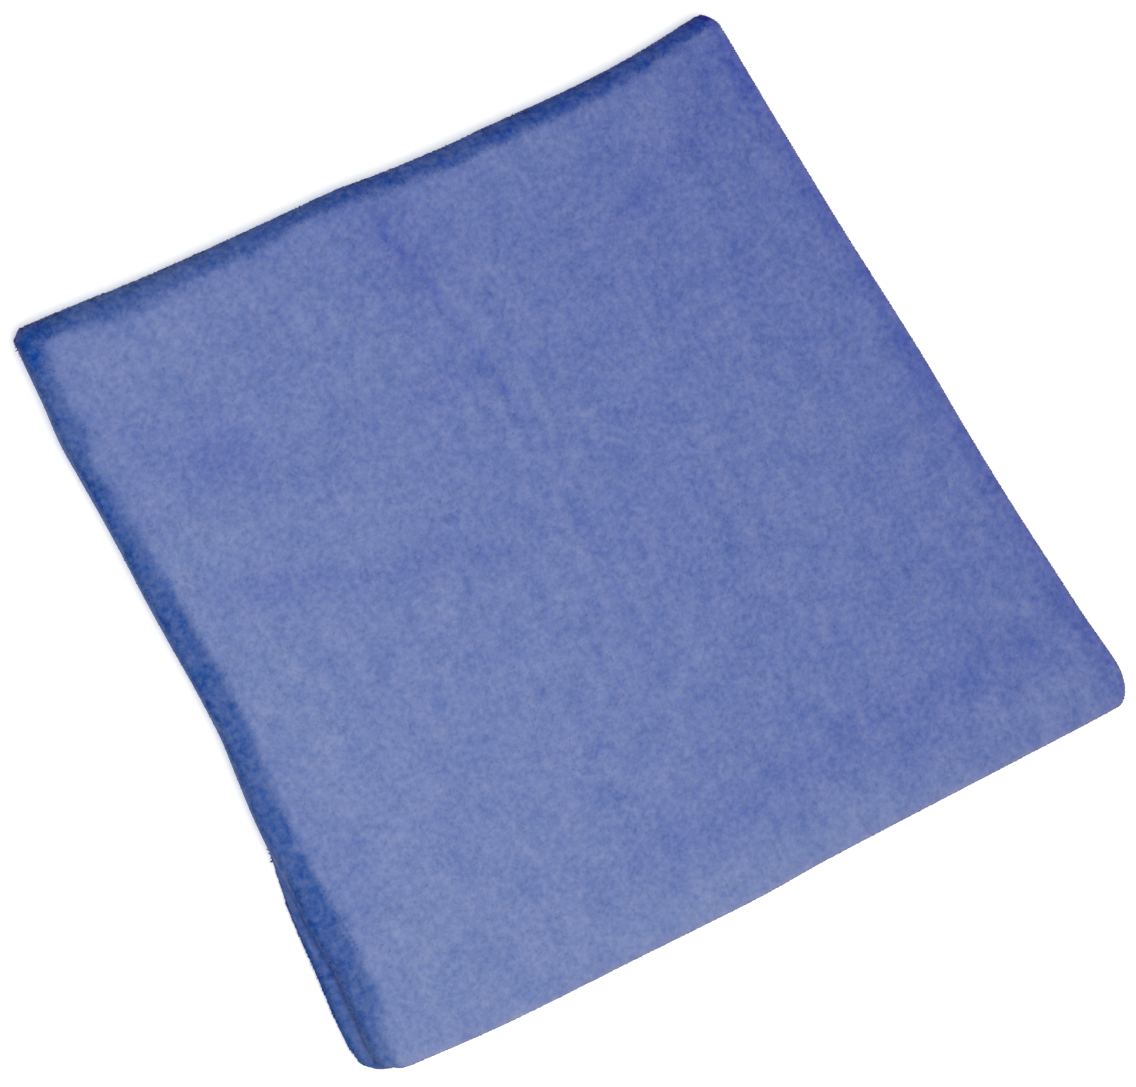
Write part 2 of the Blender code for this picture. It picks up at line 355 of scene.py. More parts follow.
def height_of_stack(across, along, x, y):
    """How high the upper face stands.

    Curves through HEIGHTS, plus a soft bell for each ripple, plus the old crease.
    """
    stations, *columns = zip(*HEIGHTS)
    near, middle, far = (smooth_curve(across, stations, column) for column in columns)
    part = 2 * along
    height = near + part * (middle - near) + part * (part - 1) / 2 * (far - 2 * middle + near)
    for middle_x, middle_y, half_x, half_y, rise in RIPPLES:
        height = height + rise * np.exp(
            -(((x - middle_x) / half_x) ** 2) - ((y - middle_y) / half_y) ** 2
        )
    return height + old_crease(x, y)


def in_from_folds(over, down):
    """How far in a point lies from the outermost line of the first fold, and of the second."""
    away_1, out_1, up_1, _ = line_across_a_fold(over, FIRST_STRAIGHT, FIRST_SQUARENESS)
    away_2, out_2, _, _ = line_across_a_fold(down, SECOND_STRAIGHT, SECOND_SQUARENESS)
    radius = SECOND_RADIUS + FIRST_REACH * up_1
    return FIRST_REACH * (1 - out_1) + away_1, STACK / 2 - radius * out_2 + away_2


def folded(over, down, face):
    """Where the cloth's point lies once it is folded, before it is centred.

    A point of the twice folded sheet is its distance from the first fold's axis, carried round
    the second fold. face is 1 on the face that ends up outside, -1 on the other, and between
    them inside the sheet. The square stack is then spread to the sides and heights above.
    """
    away_1, out_1, up_1, inset_1 = line_across_a_fold(over, FIRST_STRAIGHT, FIRST_SQUARENESS)
    away_2, out_2, up_2, inset_2 = line_across_a_fold(down, SECOND_STRAIGHT, SECOND_SQUARENESS)
    reach = FIRST_RADIUS + face * SHEET / 2 * rounded_rim(inset_1) * rounded_rim(inset_2)
    radius = SECOND_RADIUS + reach * up_1
    x = FIRST_REACH + away_1 - reach * out_1
    y = SECOND_STRAIGHT - away_2 + radius * out_2
    z = STACK / 2 + radius * up_2

    # Each corner is drawn in to a quarter ellipse.
    inner, lower = (1 - up_1) / 2, (1 - up_2) / 2
    from_fold_1, from_fold_2 = in_from_folds(over, down)
    insets = {
        "left": (from_fold_1, 1),
        "right": (inset_1, -1),
        "near": (inset_2, 1),
        "far": (from_fold_2, -1),
    }
    for (side, end), (of_upper, of_lower) in CORNER_ROUNDS.items():
        reach_x, reach_y = (up + (under - up) * lower for up, under in zip(of_upper, of_lower))
        (from_side, inwards_x), (from_end, inwards_y) = insets[side], insets[end]
        to_side = np.clip(1 - from_side / reach_x, 0, 1)
        to_end = np.clip(1 - from_end / reach_y, 0, 1)
        x = x + inwards_x * reach_x * to_side * (1 - np.sqrt(1 - to_end**2 / 2))
        y = y + inwards_y * reach_y * to_end * (1 - np.sqrt(1 - to_side**2 / 2))

    # The layers lie a little out of line.
    shares = {
        "top": (1 - inner) * (1 - lower),
        "second": inner * (1 - lower),
        "third": inner * lower,
        "bottom": (1 - inner) * lower,
    }
    across, along = x / WIDE, y / DEEP
    for layer, (at_right, at_near) in FREE_EDGES.items():
        x = x - shares[layer] * at_right * across**2
        y = y + shares[layer] * at_near * (1 - along) ** 2 * np.clip(across, 0, 1)
    across, along = x / WIDE, y / DEEP

    left, right = (smooth_curve(along, *zip(*side)) for side in (LEFT_SIDE, RIGHT_SIDE))
    near, far = (smooth_curve(across, *zip(*side)) for side in (NEAR_SIDE, FAR_SIDE))
    slip = smooth_curve(along, *zip(*LOWER_SLIP))
    x = left + (right - left) * across - slip * lower * (1 - across)
    y = near + (far - near) * along
    z = z * height_of_stack(across, along, x, y) / STACK
    return np.stack((x, y, z), axis=-1)


def stations_across(straight):
    """Flat distances from one free edge to the other: close at the rims and round the fold."""
    rim = RIM * np.array(RIM_STATIONS)
    flat = np.linspace(RIM, straight, FLAT_STATIONS)[1:]
    fold = np.linspace(straight, CLOTH_SIDE / 2, FOLD_STATIONS // 2)[1:]
    half = np.concatenate((rim, flat, fold))
    return np.concatenate((half, CLOTH_SIDE - half[-2::-1]))


over_stations = stations_across(FIRST_STRAIGHT)[:, None]
down_stations = stations_across(SECOND_STRAIGHT)[None, :]
outermost = folded(over_stations, down_stations, 1.0).reshape(-1, 3)
low, high = (np.array(corner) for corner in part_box("cloth"))
OFF_CENTRE = (low + high - outermost.min(axis=0) - outermost.max(axis=0)) / 2 * [1, 1, 0]


def on_cloth(over, down, face):
    """The folded point, moved to where the solid stands."""
    return folded(over, down, face) + OFF_CENTRE


def into_the_groove(over, down):
    """How far round a roll of the first fold a point lies towards the roll that it touches.

    On the lower roll it counts from a little before the upper one covers it.
    """
    along = 1 - np.abs(down / (CLOTH_SIDE / 2) - 1)
    shown = np.maximum(np.interp(along, *zip(*LOWER_SLIP)), 0)
    return over - CLOTH_SIDE / 2 - np.where(down > CLOTH_SIDE / 2, shown - GROOVE_LEAD, 0)


def on_ground(over, down, face):
    """The point on the knitted ground, whose outer face swells in between the two rolls.

    It fills their rounding there, but only as far out as each roll's outermost line.
    """
    from_fold_1, _ = in_from_folds(over, down)
    start, end = GROOVE_ENDS
    swell = np.clip((end - from_fold_1) / (end - start), 0, 1) * (np.asarray(face) > 0)
    turning = np.clip(into_the_groove(over, down) / GROOVE_SLOPE, 0, 1)
    from_turn = np.abs(down - CLOTH_SIDE / 2) - (CLOTH_SIDE / 2 - SECOND_STRAIGHT)
    fullest = GROOVE_SHARE - GROOVE_FALL * np.clip(1 - from_turn / GROOVE_FADE, 0, 1)
    share = GROUND_SHARE + (fullest - GROUND_SHARE) * swell * turning
    point = on_cloth(over, down, face * share)
    outermost = on_cloth(CLOTH_SIDE / 2, down, GROUND_SHARE)
    point[..., 0] = np.maximum(point[..., 0], outermost[..., 0])
    return point


def unit(vectors):
    """The vectors at length 1."""
    return vectors / np.linalg.norm(vectors, axis=-1, keepdims=True)


def fold_shade_and_spread(over, down):
    """How deep the folds' painted shade is: 1 beside a fold's outermost line, 0 on the flat.

    It is painted shade on the folds' walls, where the fold also spreads the nap. A smooth step, seen
    from above, at the band's width in from that line. Soft noise makes the step uneven. Between the two
    rolls of the first fold it is at least 1, as painted shade in the groove where the nap is squeezed
    from both sides. Next to a fold's outermost line, down by the floor, and round the corner where the
    folds meet it is deeper still.
    """
    from_fold_1, from_fold_2 = in_from_folds(over, down)
    along = 1 - np.abs(down / (CLOTH_SIDE / 2) - 1)
    across = 1 - np.abs(over / (CLOTH_SIDE / 2) - 1)
    uneven = SHADE_BAND_NOISE * soft_noise(over, down, SHADE_BAND_NOISE_SIZE, BAND_NOISE_SEED)
    shade_level = 0
    for place, bands, from_fold in (
        (along, FIRST_SHADE_BAND, from_fold_1),
        (1 - across, SECOND_SHADE_BAND, from_fold_2),
    ):
        stations, widths, levels = zip(*bands)
        inside = np.interp(place, stations, widths) + uneven - from_fold
        step = np.clip(0.5 + inside / (2 * SHADE_BAND_BLUR), 0, 1)
        step = step * step * (3 - 2 * step) * np.interp(place, stations, levels)
        shade_level = np.maximum(shade_level, step)
    # painted shade in the groove between the two rolls of the first fold
    squeezed = (over > CLOTH_SIDE / 2) & (from_fold_1 < GROOVE_ENDS[1])
    shade_level = np.where(squeezed, np.maximum(shade_level, 1), shade_level)
    # deeper painted shade next to the outermost lines, down by the floor, and round the corner where the
    # folds meet
    outermost = np.clip(1 - np.minimum(from_fold_1, from_fold_2) / OUTERMOST_SHADE_REACH, 0, 1)
    under = (down > CLOTH_SIDE / 2) & (from_fold_1 < from_fold_2)
    outermost = outermost * np.where(under, LOWER_OUTERMOST_SHADE, OUTERMOST_SHADE)
    meeting = np.clip(1 - (from_fold_1 + from_fold_2) / MEETING_SHADE_REACH, 0, 1)
    return shade_level + outermost + MEETING_SHADE * meeting


def nap_tone_and_painted_light(over, down):
    """How much paler than the face's blue the nap is at each place, mostly as painted light and shade.

    It falls evenly from the near left corner of the folded cloth to the far right one, as a painted
    falloff of the light; a little more beside the right free edges, as painted shade where they roll
    off; and with the old crease's rise, as painted shade in its trough and a painted highlight on its
    lip. Single patches are bells whose contours are ellipses: painted shade in the ripples' dips,
    painted light on their rises, and paler and deeper nap.
    """
    x, y, _ = np.moveaxis(on_cloth(over, down, 0), -1, 0)
    at_right = np.clip(1 - over / RIGHT_SHADE_BAND, 0, 1)
    # a painted falloff of the light, and painted shade along the right edge's roll-off
    paler = PAINTED_LIGHT_MIDDLE - x * PAINTED_LIGHT_FALL[0] - y * PAINTED_LIGHT_FALL[1] - RIGHT_EDGE_SHADE * at_right
    # painted shade in the crease's trough, a painted highlight on its lip
    paler = paler + CREASE_SHADE * old_crease(x, y)
    # painted shade and light over the ripples, with patches of paler and deeper nap
    for middle_x, middle_y, half_length, half_width, turn, rise in PATCHES_OF_LIGHT_SHADE_AND_TONE:
        cosine, sine = np.cos(np.radians(turn)), np.sin(np.radians(turn))
        ahead = ((x - middle_x) * cosine + (y - middle_y) * sine) / half_length
        aside = ((y - middle_y) * cosine - (x - middle_x) * sine) / half_width
        paler = paler + rise * np.exp(-(ahead**2) - aside**2)
    return paler


def rim_highlight(over, down):
    """How strong the painted highlight beside a free edge is: 1 at the edge, falling with a square to 0
    at the band's end.

    Along the right side it is multiplied by that side's share before the square.
    """
    at_right = 1 - np.minimum(over, CLOTH_SIDE - over) / RIM_HIGHLIGHT_BAND
    at_near = 1 - np.minimum(down, CLOTH_SIDE - down) / RIM_HIGHLIGHT_BAND
    return np.clip(np.maximum(RIGHT_HIGHLIGHT_SHARE * at_right, at_near), 0, 1) ** 2


def soft_noise(x, y, size, seed):
    """Smooth noise about 0: random numbers at the corners of square cells, blended across each."""
    corners = np.random.default_rng(seed).normal(size=(NOISE_CELLS, NOISE_CELLS))
    column, row = (np.asarray(place) / size + NOISE_CELLS // 2 for place in (x, y))
    left, below = np.floor(column).astype(int), np.floor(row).astype(int)
    part_x, part_y = column - left, row - below
    part_x, part_y = (part * part * (3 - 2 * part) for part in (part_x, part_y))
    lower, upper = (
        corners[left % NOISE_CELLS, level % NOISE_CELLS] * (1 - part_x)
        + corners[(left + 1) % NOISE_CELLS, level % NOISE_CELLS] * part_x
        for level in (below, below + 1)
    )
    return lower * (1 - part_y) + upper * part_y


def make_mesh(name, points, faces):
    """A mesh from an array of points and an array of faces with the same number of corners."""
    mesh = bpy.data.meshes.new(name)
    corners = faces.shape[1]
    mesh.vertices.add(len(points))
    mesh.vertices.foreach_set("co", points.astype(np.float32).ravel())
    mesh.loops.add(faces.size)
    mesh.loops.foreach_set("vertex_index", faces.astype(np.int32).ravel())
    mesh.polygons.add(len(faces))
    mesh.polygons.foreach_set("loop_start", np.arange(0, faces.size, corners, dtype=np.int32))
    mesh.update(calc_edges=True)
    mesh.shade_smooth()
    return mesh


def add_attribute(mesh, name, values):
    """A number for each vertex, which the materials read by its name."""
    attribute = mesh.attributes.new(name, "FLOAT", "POINT")
    attribute.data.foreach_set("value", values.astype(np.float32).ravel())


def add_bake_map(mesh, places):
    """The map that colours are baked by: a place in the unit square for each corner of each face."""
    layer = mesh.uv_layers.new(name="OFBake")
    layer.data.foreach_set("uv", np.clip(places, 0, 1).astype(np.float32).ravel())


def ground_mesh(name):
    """A closed mesh from the ground's two faces, each a grid of points, and a strip round the rims."""
    outside, inside = (on_ground(over_stations, down_stations, face) for face in (1, -1))
    rows, columns, _ = outside.shape
    grid = np.arange(rows * columns).reshape(rows, columns)
    quads = np.stack((grid[:-1, :-1], grid[:-1, 1:], grid[1:, 1:], grid[1:, :-1]), axis=-1)
    quads = quads.reshape(-1, 4)
    rim = np.concatenate((grid[:-1, 0], grid[-1, :-1], grid[:0:-1, -1], grid[0, :0:-1]))
    onward = np.roll(rim, -1)
    strip = np.stack((rim, onward, onward + grid.size, rim + grid.size), axis=-1)
    faces = np.concatenate((quads, quads[:, ::-1] + grid.size, strip))
    mesh = make_mesh(name, np.concatenate((outside.reshape(-1, 3), inside.reshape(-1, 3))), faces)
    flat_over, flat_down = np.broadcast_arrays(over_stations, down_stations)
    flat = np.stack((flat_over * HALF_MAP, flat_down), axis=-1).reshape(-1, 2) / CLOTH_SIDE
    round_rim = np.linspace(0, 1, len(rim) + 1)
    start, end = round_rim[:-1], round_rim[1:]
    at_outside, at_inside = (np.full(len(rim), place) for place in RIM_MAP)
    rim_places = np.stack((at_outside, start, at_outside, end, at_inside, end, at_inside, start), -1)
    places = (flat[quads], flat[quads[:, ::-1]] + [INSIDE_MAP, 0], rim_places)
    add_bake_map(mesh, np.concatenate([part.reshape(-1, 2) for part in places]))
    add_attribute(mesh, "fold_shade", np.tile(fold_shade_and_spread(over_stations, down_stations).ravel(), 2))
    add_attribute(mesh, "nap_tone_and_painted_light", np.tile(nap_tone_and_painted_light(over_stations, down_stations).ravel(), 2))
    add_attribute(mesh, "rim_highlight", np.tile(rim_highlight(over_stations, down_stations).ravel(), 2))
    add_attribute(mesh, "tips", np.zeros(2 * grid.size))
    return mesh


FACE_BLUE = (0.127, 0.170, 0.377)  # looking down on the tips of a level nap
FOLD_SHADE_BLUE = (0.043, 0.086, 0.282)  # painted shade on the folds' walls, also looking in between the fibres that a fold spreads
PALE = (0.60, 0.57, 0.44)  # what the light caught on the tips adds to either
TONE_AND_LIGHT_TINT = (0.59, 0.72, 0.36)  # what the painted light and shade, and the nap's own tone, add
RIM_HIGHLIGHT = (0.050, 0.024, -0.012)  # the warm painted highlight that it adds at a free edge
CLUMP_SIZE = 0.0017  # of the tufts' clumps
CLOUD_SIZE = 0.0075  # of wider pale clouds
ROW_SIZE = 0.0032  # of the knitted rows that show faintly through the nap, along Y
ROW_SLENDERNESS = 7
BLOOM_STRENGTHS = (0.23, 0.13, 0.08)  # of the clumps, the clouds and the rows
NOISE_DETAIL = 2
NOISE_ROUGHNESS = 0.6
PLUSH_ROUGHNESS = 0.95
PLUSH_SPECULAR = 0.15
SHEEN = 0.12
SHEEN_ROUGHNESS = 0.6
SHEEN_TINT = (0.75, 0.80, 1.0)


def new_group(name, inputs, outputs):
    """An empty shader node group with the sockets named, and its input and output nodes."""
    group = bpy.data.node_groups.new(name, "ShaderNodeTree")
    for label, kind, value in inputs:
        socket = group.interface.new_socket(label, in_out="INPUT", socket_type=kind)
        socket.default_value = value
    for label, kind in outputs:
        group.interface.new_socket(label, in_out="OUTPUT", socket_type=kind)
    return group, group.nodes.new("NodeGroupInput"), group.nodes.new("NodeGroupOutput")


def plush_colour_group():
    """Plush blue: a mix of two blues by the folds' painted shade, plus a pale bloom.

    The bloom is the attribute "tips" and three noises about 0, of clumps, of clouds and of long rows,
    each times its own strength. Two more attributes add their own colours: painted light, shade and nap
    tone over the face, and a warm painted highlight beside the free edges.
    """
    group, given, made = new_group(
        "plush colour",
        (
            ("Face Colour", "NodeSocketColor", (*FACE_BLUE, 1)),
            ("Fold Colour", "NodeSocketColor", (*FOLD_SHADE_BLUE, 1)),
            ("Clumps", "NodeSocketFloat", 0.1),
            ("Clouds", "NodeSocketFloat", 0.1),
            ("Rows", "NodeSocketFloat", 0.1),
        ),
        (("Colour", "NodeSocketColor"),),
    )
    nodes, links = group.nodes, group.links
    place = nodes.new("ShaderNodeTexCoord").outputs["Object"]
    # the folds' painted shade, read from its attribute, mixes in the fold blue
    fold_shade_node = nodes.new("ShaderNodeAttribute")
    fold_shade_node.attribute_name = "fold_shade"
    blue = nodes.new("ShaderNodeMix")
    blue.data_type = "RGBA"
    blue.clamp_factor = False
    links.new(fold_shade_node.outputs["Fac"], blue.inputs["Factor"])
    links.new(given.outputs["Face Colour"], blue.inputs["A"])
    links.new(given.outputs["Fold Colour"], blue.inputs["B"])
    amounts = {}
    for name in ("tips", "nap_tone_and_painted_light", "rim_highlight"):
        attribute = nodes.new("ShaderNodeAttribute")
        attribute.attribute_name = name
        amounts[name] = attribute.outputs["Fac"]
    bloom = amounts["tips"]
    for strength, size, slender in (
        ("Clumps", CLUMP_SIZE, 1),
        ("Clouds", CLOUD_SIZE, 1),
        ("Rows", ROW_SIZE, ROW_SLENDERNESS),
    ):
        stretched = nodes.new("ShaderNodeVectorMath")
        stretched.operation = "MULTIPLY"
        links.new(place, stretched.inputs[0])
        stretched.inputs[1].default_value = (1 / size, 1 / (size * slender), 1 / size)
        noise = nodes.new("ShaderNodeTexNoise")
        noise.inputs["Scale"].default_value = 1
        noise.inputs["Detail"].default_value = NOISE_DETAIL
        noise.inputs["Roughness"].default_value = NOISE_ROUGHNESS
        links.new(stretched.outputs["Vector"], noise.inputs["Vector"])
        centred = nodes.new("ShaderNodeMath")
        centred.operation = "SUBTRACT"
        links.new(noise.outputs["Fac"], centred.inputs[0])
        centred.inputs[1].default_value = 0.5
        added = nodes.new("ShaderNodeMath")
        added.operation = "MULTIPLY_ADD"
        links.new(centred.outputs[0], added.inputs[0])
        links.new(given.outputs[strength], added.inputs[1])
        links.new(bloom, added.inputs[2])
        bloom = added.outputs[0]
    mixed = blue.outputs["Result"]
    # the first tint is the pale bloom, the second painted light and shade with the nap's tone, the third
    # a warm painted highlight beside the free edges
    for tint, amount in ((PALE, bloom), (TONE_AND_LIGHT_TINT, amounts["nap_tone_and_painted_light"]), (RIM_HIGHLIGHT, amounts["rim_highlight"])):
        share = nodes.new("ShaderNodeVectorMath")
        share.operation = "SCALE"
        share.inputs[0].default_value = tint
        links.new(amount, share.inputs["Scale"])
        both = nodes.new("ShaderNodeVectorMath")
        both.operation = "ADD"
        links.new(mixed, both.inputs[0])
        links.new(share.outputs["Vector"], both.inputs[1])
        mixed = both.outputs["Vector"]
    links.new(mixed, made.inputs["Colour"])
    return group


plush_colour = plush_colour_group()


def plush_material(name, strengths):
    """Matt microfibre with a faint pale bloom, whose three noises have these strengths."""
    material = bpy.data.materials.new(name)
    material.use_nodes = True
    nodes, links = material.node_tree.nodes, material.node_tree.links
    shader = nodes["Principled BSDF"]
    shader.inputs["Roughness"].default_value = PLUSH_ROUGHNESS
    shader.inputs["Specular IOR Level"].default_value = PLUSH_SPECULAR
    shader.inputs["Sheen Weight"].default_value = SHEEN
    shader.inputs["Sheen Roughness"].default_value = SHEEN_ROUGHNESS
    shader.inputs["Sheen Tint"].default_value = (*SHEEN_TINT, 1)
    colour = nodes.new("ShaderNodeGroup")
    colour.node_tree = plush_colour
    for label, strength in zip(("Clumps", "Clouds", "Rows"), strengths):
        colour.inputs[label].default_value = strength
    links.new(colour.outputs["Colour"], shader.inputs["Base Color"])
    return material


cloth = bpy.data.objects.new("microfibre_cloth", ground_mesh("microfibre_cloth"))
bpy.context.scene.collection.objects.link(cloth)
cloth.data.materials.append(plush_material("knitted ground", BLOOM_STRENGTHS))
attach(cloth, "root")
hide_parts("cloth")

# ---------------------------------------------------------------------------------------------
# The nap. Split fibres stand in fine tufts on both faces of the ground, lean with the way the
# cloth was last stroked, and gather in clumps. Each tuft is a slender pyramid with three sides.

TUFT_LENGTH = 0.0011
LENGTH_RANGE = (0.75, 1.25)  # of single tufts, times as long
LENGTH_NOISE = 0.12  # how much longer or shorter they stand from place to place
LENGTH_NOISE_SIZE = 0.0026
TUFT_WIDTH = 0.00067
TUFT_TURN = 0.25  # how far tufts are turned about their own axes, in radians
HEADINGS = ((2.2, 0.011), (1.2, 0.0028))  # how far the lean turns, in radians, and over what size
HEADING_SPREAD = 0.7  # how far single tufts stray from it
TUFT_LEAN = np.radians(83)  # away from straight up
PRESSED_LEAN = np.radians(84)  # under the cloth, and the most that any tuft leans
LEAN_SPREAD = np.radians(6)
SQUEEZED_LEAN = np.radians(78)  # between the two rolls of the first fold, towards the outside
SQUEEZED_BAND = 0.008  # how far in from that fold the rolls squeeze the nap
SQUEEZED_TURN = 0.0025  # round a roll, until the lean is that
SQUEEZED_HEADING = 0.5  # how much of the tufts' own heading is left to them there
WALL_LENGTH = 0.8  # times as long where the cloth stands upright or faces down
LEVEL_ENOUGH = 0.6  # of an upright normal's height, from where on the tufts have their full length
SQUEEZED_LENGTH = 0.65  # times as long as elsewhere
OVERHANG_LENGTH = 0.35  # times as long under the upper roll, where it juts out over the lower
HIDDEN_SLIP = 0.001  # where the lower roll lies less far out than this, the upper covers it
TIP_REACH = 0.004  # from the corner where the two folds meet
TIP_SHORTER = 0.6  # there the tufts are rubbed down by this share
EDGE_SHARE = 0.22  # the length at a free edge, as a share
EDGE_WIDTH_SHARE = 0.7  # the width on the cut edge, as a share
EDGE_BAND = 0.0025  # within this of a free edge the tufts grow shorter
ROOT_DEPTH = 0.0002
NORMAL_LIFT = 1.2  # how far the light that soaks round a fold turns its shading upwards
LIFTED_BELOW = 0.5  # of an upright normal's height, from where down the shading is turned
UNLIFTED = (-0.9, 0.4)  # below this height it is not, and over this much more it sets in
SHADE_OF_TUFT = 0.08  # how far a tuft's own roundness turns its shading from the ground's
MAP_SHARE = 0.7  # of a tuft in the map for baking, so that all the tufts together fill it
TIPS_SPREAD = 0.005  # how much paler or deeper single tufts are
NAP_SEED = 20


def scattered(low, high, spacing, random):
    """Places about this far apart: one in each cell of a grid, anywhere in its cell."""
    counts = np.maximum(np.round(np.abs(np.array(high) - low) / spacing), 1).astype(int)
    cells = np.stack(np.meshgrid(*(np.arange(count) for count in counts), indexing="ij"), -1)
    cells = cells.reshape(-1, 2) + random.random((counts.prod(), 2))
    return (low + cells * (np.array(high) - low) / counts).T


def roots(over, down, face):
    """Where tufts stand: their points on the ground, outward normals and directions along it.

    face is 1 or -1 on the cloth's two faces. In between it is on the free edge, whose normal points away
    from the cloth.
    """
    point = on_ground(over, down, face)
    step_over = np.where(over < CLOTH_SIDE / 2, SMALL_STEP, -SMALL_STEP)
    step_down = np.where(down < CLOTH_SIDE / 2, SMALL_STEP, -SMALL_STEP)
    along_over = on_ground(over + step_over, down, face) - point
    along_down = on_ground(over, down + step_down, face) - point
    upright = np.sign(step_over * step_down * face)[:, None]
    normal = unit(np.cross(along_down, along_over) * upright)
    on_edge = (np.abs(face) < 1)[:, None]
    at_side = (np.minimum(over, CLOTH_SIDE - over) < SMALL_STEP)[:, None]
    outwards = unit(-np.where(at_side, along_over, along_down))
    along = unit(np.where(at_side, along_down, along_over))
    normal = np.where(on_edge, outwards, normal)
    return point, normal, along


def nap_mesh(name, over, down, face, places, random):
    """Tufts: each is a base triangle in the ground and a tip that leans.

    The tip is the root plus the length times the cosine of the lean along the normal and its
    sine along the heading. The heading turns with smooth noise over the cloth, and each tuft
    strays from it a little. One corner of the base lies on the side that the tuft leans to, so a
    broad face shows from above. Tufts are shorter on upright walls, at free edges, between the
    rolls of the first fold, and at the corner where the folds meet.
    """
    point, normal, along = roots(over, down, face)
    count = len(point)
    side = np.cross(normal, along)
    x, y = point[:, 0], point[:, 1]
    (wide_turn, wide_size), (small_turn, small_size) = HEADINGS
    heading = wide_turn * soft_noise(x, y, wide_size, NAP_SEED)
    heading = heading + small_turn * soft_noise(x, y, small_size, NAP_SEED + 1)
    heading = heading + HEADING_SPREAD * random.normal(size=count)
    forward = along * np.cos(heading)[:, None] + side * np.sin(heading)[:, None]
    from_fold_1, from_fold_2 = in_from_folds(over, down)
    squeezed = (over > CLOTH_SIDE / 2) & (face > 0) & (from_fold_1 < SQUEEZED_BAND)
    pressed = (over < FIRST_STRAIGHT) & (down > CLOTH_SIDE - SECOND_STRAIGHT) & (face > 0)
    deep = np.clip(into_the_groove(over, down) / SQUEEZED_TURN, 0, 1)
    lean = np.where(pressed, PRESSED_LEAN, TUFT_LEAN)
    lean = np.where(squeezed, TUFT_LEAN + (SQUEEZED_LEAN - TUFT_LEAN) * deep, lean)
    lean = np.minimum(lean + LEAN_SPREAD * random.normal(size=count), PRESSED_LEAN)
    towards_fold = np.where(squeezed[:, None], unit(forward * SQUEEZED_HEADING + along), forward)
    axis = normal * np.cos(lean)[:, None] + towards_fold * np.sin(lean)[:, None]
    length = TUFT_LENGTH * (1 + LENGTH_NOISE * soft_noise(x, y, LENGTH_NOISE_SIZE, NAP_SEED + 2))
    length = length * random.uniform(*LENGTH_RANGE, count)
    upright = normal[:, 2]
    level = np.clip(upright / LEVEL_ENOUGH, 0, 1)
    length = length * (WALL_LENGTH + (1 - WALL_LENGTH) * level**0.5)
    inside = np.clip(into_the_groove(over, down) / GROOVE_LEAD, 0, 1)
    length = np.where(squeezed, length * (1 + (SQUEEZED_LENGTH - 1) * inside), length)
    along_fold = 1 - np.abs(down / (CLOTH_SIDE / 2) - 1)
    hidden = np.interp(along_fold, *zip(*LOWER_SLIP)) < HIDDEN_SLIP
    overhangs = squeezed & hidden & ((upright < 0) | (inside > 0.5))
    length = np.where(overhangs, length * OVERHANG_LENGTH, length)
    tip_of_corner = np.clip(1 - np.maximum(from_fold_1, from_fold_2) / TIP_REACH, 0, 1)
    length = length * (1 - TIP_SHORTER * np.sqrt(tip_of_corner))
    from_edge = np.minimum.reduce([over, CLOTH_SIDE - over, down, CLOTH_SIDE - down])
    length = length * np.clip(EDGE_SHARE + (1 - EDGE_SHARE) * from_edge / EDGE_BAND, 0, 1)
    width = TUFT_WIDTH * np.where(from_edge < SMALL_STEP, EDGE_WIDTH_SHARE, 1)[:, None]
    tip = point + axis * length[:, None]
    across_lean = np.cross(normal, towards_fold)
    turn = TUFT_TURN * random.normal(size=count)
    corners = []
    for third in range(3):
        angle = turn + (third + 1) * 2 * np.pi / 3
        aside = towards_fold * np.cos(angle)[:, None] + across_lean * np.sin(angle)[:, None]
        corners.append(point - normal * ROOT_DEPTH + aside * width / 2)
    points = np.stack((*corners, tip), axis=1)
    points[..., 2] = np.maximum(points[..., 2], 0)
    faces = np.array(((0, 1, 3), (1, 2, 3), (2, 0, 3), (0, 2, 1)))
    angle = np.arange(3) * 2 * np.pi / 3
    spots = np.stack((np.append(np.cos(angle), 0), np.append(np.sin(angle), 0)), axis=-1)
    reach = MAP_SHARE / np.sqrt(count)
    spots = (reach + (1 - 2 * reach) * places.T)[:, None] + reach * spots[faces.ravel()]
    faces = (faces[None] + 4 * np.arange(count)[:, None, None]).reshape(-1, 3)
    mesh = make_mesh(name, points.reshape(-1, 3), faces)
    add_bake_map(mesh, spots)
    add_attribute(mesh, "fold_shade", np.repeat(fold_shade_and_spread(over, down), 4))
    add_attribute(mesh, "nap_tone_and_painted_light", np.repeat(nap_tone_and_painted_light(over, down), 4))
    add_attribute(mesh, "rim_highlight", np.repeat(rim_highlight(over, down), 4))
    add_attribute(mesh, "tips", np.repeat(TIPS_SPREAD * random.normal(size=count), 4))
    spread = points - points.mean(axis=1, keepdims=True)
    lowest, rise = UNLIFTED
    lift = NORMAL_LIFT * np.clip(LIFTED_BELOW - upright, 0, 1)
    lift = lift * np.clip((upright - lowest) / rise, 0, 1)
    lift = np.where(squeezed | (np.abs(face) < 1), 1, lift)
    outlook = normal + lift[:, None] * [0, 0, 1]
    soft = unit(outlook)[:, None] + SHADE_OF_TUFT * unit(spread)
    mesh.normals_split_custom_set_from_vertices(unit(soft).reshape(-1, 3).tolist())
    return mesh


nap_material = plush_material("nap", BLOOM_STRENGTHS)
SLOT_SHARE = 0.98  # of a slot's width, so that neighbours in the map stand apart


def strip_of_map(first, second, slot, slots):
    """Places in the unit square: each distance stretched from 0 to 1, side by side in slots."""
    first, second = ((part - part.min()) / np.ptp(part) for part in (first, second))
    return np.stack(((slot + SLOT_SHARE * first) / slots, second))


